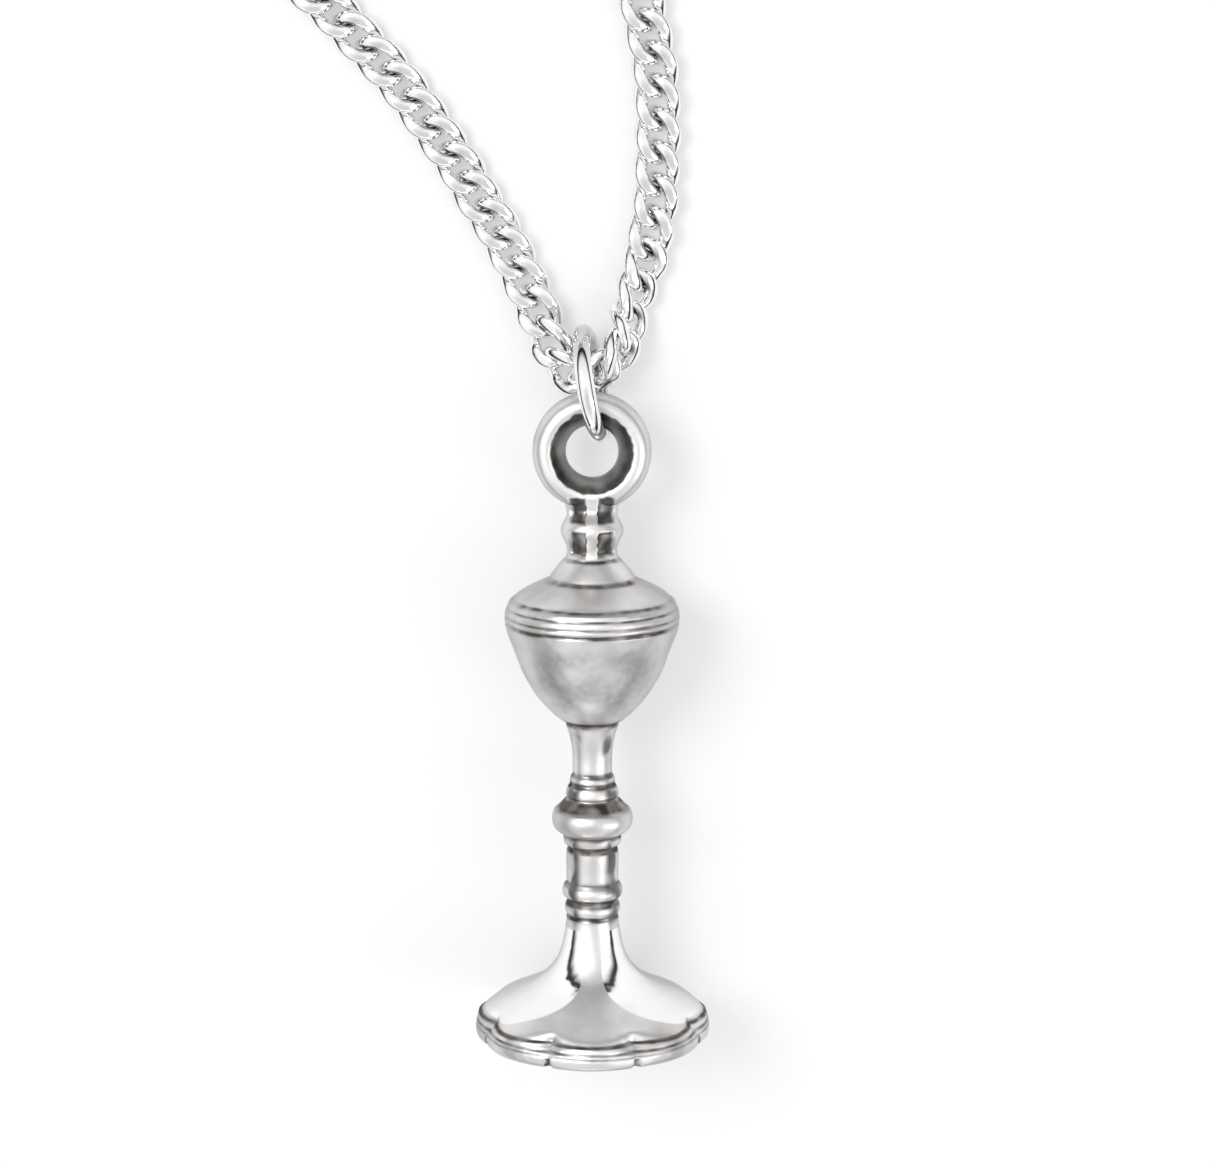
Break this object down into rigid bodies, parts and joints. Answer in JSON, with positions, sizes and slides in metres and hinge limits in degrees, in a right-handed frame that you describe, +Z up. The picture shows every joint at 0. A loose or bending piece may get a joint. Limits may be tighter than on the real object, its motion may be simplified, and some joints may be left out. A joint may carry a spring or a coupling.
{
  "type": "ciborium charm on a chain",
  "caption": "Silver ciborium charm with a lobed foot, turned stem, lidded bowl and bail ring, on a jump ring and a curb chain with a spring-ring clasp.",
  "frame": {"origin": "on the table under the middle of the charm, its bail ring and its jump ring", "axes": "+Y along the charm from its foot to its bail, +Z up from the table it lies on"},
  "size_m": [0.0212, 0.0656, 0.0092],
  "materials": {
    "antique_silver": "antiqued satin silver, dark in its grooves",
    "bright_silver": "bright polished rhodium-plated silver"
  },
  "bodies": {
    "charm": {"ciborium": "antique_silver", "bail_ring": "antique_silver"},
    "jump_ring_body": {"jump_ring": "bright_silver"},
    "link_left_5_body": {"link_left_5": "bright_silver", "chain_left": "bright_silver", "coil_left": "bright_silver"},
    "link_left_4_body": {"link_left_4": "bright_silver"},
    "link_left_3_body": {"link_left_3": "bright_silver"},
    "link_left_2_body": {"link_left_2": "bright_silver"},
    "link_left_1_body": {"link_left_1": "bright_silver"},
    "link_middle_body": {"link_middle": "bright_silver"},
    "link_right_1_body": {"link_right_1": "bright_silver"},
    "link_right_2_body": {"link_right_2": "bright_silver"},
    "link_right_3_body": {"link_right_3": "bright_silver"},
    "link_right_4_body": {"link_right_4": "bright_silver"},
    "link_right_5_body": {"link_right_5": "bright_silver", "chain_right": "bright_silver", "coil_right": "bright_silver"},
    "connector": {"connector_ring": "bright_silver"},
    "clasp": {"clasp_case": "bright_silver", "clasp_eyelet": "bright_silver", "clasp_spring": "bright_silver"},
    "bolt": {"clasp_bolt": "bright_silver", "clasp_lever": "bright_silver"},
    "end_ring_body": {"end_ring": "bright_silver"}
  },
  "joints": [
    {"name": "jump_ring_turn", "type": "hinge", "parent": "charm", "child": "jump_ring_body", "pos_m": [0, 0.01195, 0.00232], "axis": [0.9811, 0.173, 0.0872], "continuous": true},
    {"name": "chain_lift", "type": "hinge", "parent": "charm", "child": "link_middle_body", "pos_m": [0, 0.01195, 0.00232], "axis": [1, 0, 0], "range_deg": [0, 50]},
    {"name": "clasp_bolt_slide", "type": "hinge", "parent": "clasp", "child": "bolt", "pos_m": [-0.0072, 0.041, 0.00065], "axis": [0, 0, -1], "range_deg": [0, 50], "stiffness_Nm_per_rad": 0.004, "springref_deg": -17.19, "deforming": ["clasp_spring"]},
    {"name": "clasp_swing", "type": "hinge", "parent": "connector", "child": "clasp", "pos_m": [-0.0032, 0.041, 0.00095], "axis": [0, 0, 1], "range_deg": [-12, 0]},
    {"name": "connector_ring_lift", "type": "hinge", "parent": "link_left_5_body", "child": "connector", "pos_m": [-0.00031, 0.041, 0.00072], "axis": [0, 1, 0], "range_deg": [0, 20]},
    {"name": "end_ring_lift", "type": "hinge", "parent": "link_right_5_body", "child": "end_ring_body", "pos_m": [-0.00401, 0.03554, 0.00072], "axis": [0.9397, 0.342, 0], "range_deg": [0, 50]},
    {"name": "left_link_joint_1", "type": "hinge", "parent": "link_middle_body", "child": "link_left_1_body", "pos_m": [-0.00049, 0.01234, 0.00141], "axis": [0, 0, 1], "range_deg": [-2, 2]},
    {"name": "left_link_joint_2", "type": "hinge", "parent": "link_left_1_body", "child": "link_left_2_body", "pos_m": [-0.00133, 0.01289, 0.00115], "axis": [0, 0, -1], "range_deg": [-2, 2]},
    {"name": "left_link_joint_3", "type": "hinge", "parent": "link_left_2_body", "child": "link_left_3_body", "pos_m": [-0.00186, 0.01396, 0.00085], "axis": [0, 0, 1], "range_deg": [-4, 4]},
    {"name": "left_link_joint_4", "type": "hinge", "parent": "link_left_3_body", "child": "link_left_4_body", "pos_m": [-0.00234, 0.01508, 0.00065], "axis": [0, 0, -1], "range_deg": [-4, 4]},
    {"name": "left_link_joint_5", "type": "hinge", "parent": "link_left_4_body", "child": "link_left_5_body", "pos_m": [-0.00285, 0.0162, 0.00056], "axis": [0, 0, 1], "range_deg": [-4, 4]},
    {"name": "right_link_joint_1", "type": "hinge", "parent": "link_middle_body", "child": "link_right_1_body", "pos_m": [0.0005, 0.01262, 0.00152], "axis": [0, 0, 1], "range_deg": [-2, 2]},
    {"name": "right_link_joint_2", "type": "hinge", "parent": "link_right_1_body", "child": "link_right_2_body", "pos_m": [0.00116, 0.01345, 0.0013], "axis": [0, 0, -1], "range_deg": [-2, 2]},
    {"name": "right_link_joint_3", "type": "hinge", "parent": "link_right_2_body", "child": "link_right_3_body", "pos_m": [0.0015, 0.01452, 0.00092], "axis": [0, 0, 1], "range_deg": [-4, 4]},
    {"name": "right_link_joint_4", "type": "hinge", "parent": "link_right_3_body", "child": "link_right_4_body", "pos_m": [0.0018, 0.01567, 0.00069], "axis": [0, 0, -1], "range_deg": [-4, 4]},
    {"name": "right_link_joint_5", "type": "hinge", "parent": "link_right_4_body", "child": "link_right_5_body", "pos_m": [0.00211, 0.01686, 0.00058], "axis": [0, 0, 1], "range_deg": [-4, 4]}
  ]
}
